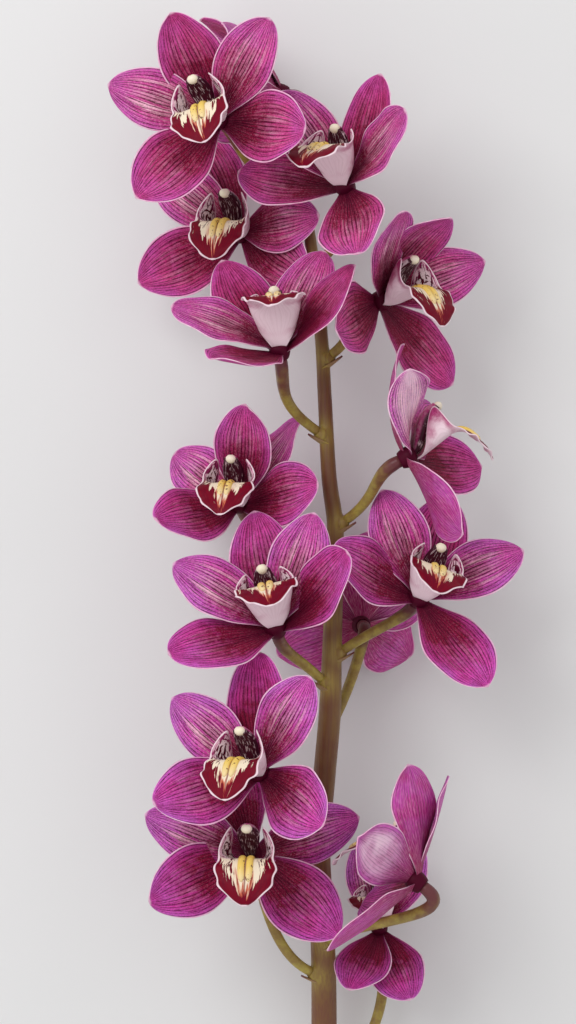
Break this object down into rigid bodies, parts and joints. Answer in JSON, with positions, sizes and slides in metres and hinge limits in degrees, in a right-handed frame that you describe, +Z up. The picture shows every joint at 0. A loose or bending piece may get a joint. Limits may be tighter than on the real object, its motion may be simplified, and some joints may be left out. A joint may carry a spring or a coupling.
{
  "type": "cut cymbidium orchid stem",
  "caption": "Cut orchid stem lying on its side, with magenta blooms on short stalks along a long tapering rachis",
  "frame": {"origin": "middle of the stem's bounding box, on the surface it lies on", "axes": "+Y along the stem from the cut end to the tip, +X to the right across it seen from above, +Z up from the surface"},
  "size_m": [0.2046, 0.6557, 0.1525],
  "materials": {
    "stem": "satin olive-brown plant stem",
    "pedicel": "satin olive-green stalk",
    "tepals": "soft satin petal, magenta with darker veins",
    "lip": "soft satin petal, crimson with a white margin",
    "column": "waxy pale pink"
  },
  "bodies": {
    "root": {"stem": "stem", "bloom_01_tepals": "tepals", "bloom_01_lip": "lip", "bloom_01_column": "column", "bloom_01_pedicel": "pedicel", "bloom_02_tepals": "tepals", "bloom_02_lip": "lip", "bloom_02_column": "column", "bloom_02_pedicel": "pedicel", "bloom_03_tepals": "tepals", "bloom_03_lip": "lip", "bloom_03_column": "column", "bloom_03_pedicel": "pedicel", "bloom_04_tepals": "tepals", "bloom_04_lip": "lip", "bloom_04_column": "column", "bloom_04_pedicel": "pedicel", "bloom_05_tepals": "tepals", "bloom_05_lip": "lip", "bloom_05_column": "column", "bloom_05_pedicel": "pedicel", "bloom_06_tepals": "tepals", "bloom_06_lip": "lip", "bloom_06_column": "column", "bloom_06_pedicel": "pedicel", "bloom_07_tepals": "tepals", "bloom_07_lip": "lip", "bloom_07_column": "column", "bloom_07_pedicel": "pedicel", "bloom_08_tepals": "tepals", "bloom_08_lip": "lip", "bloom_08_column": "column", "bloom_08_pedicel": "pedicel", "bloom_09_tepals": "tepals", "bloom_09_lip": "lip", "bloom_09_column": "column", "bloom_09_pedicel": "pedicel", "bloom_10_tepals": "tepals", "bloom_10_lip": "lip", "bloom_10_column": "column", "bloom_10_pedicel": "pedicel", "bloom_11_tepals": "tepals", "bloom_11_lip": "lip", "bloom_11_column": "column", "bloom_11_pedicel": "pedicel", "bloom_12_tepals": "tepals", "bloom_12_lip": "lip", "bloom_12_column": "column", "bloom_12_pedicel": "pedicel", "bloom_13_tepals": "tepals", "bloom_13_lip": "lip", "bloom_13_column": "column", "bloom_13_pedicel": "pedicel", "bloom_14_tepals": "tepals", "bloom_14_lip": "lip", "bloom_14_column": "column", "bloom_14_pedicel": "pedicel", "bloom_15_tepals": "tepals", "bloom_15_lip": "lip", "bloom_15_pedicel": "pedicel"}
  },
  "joints": []
}
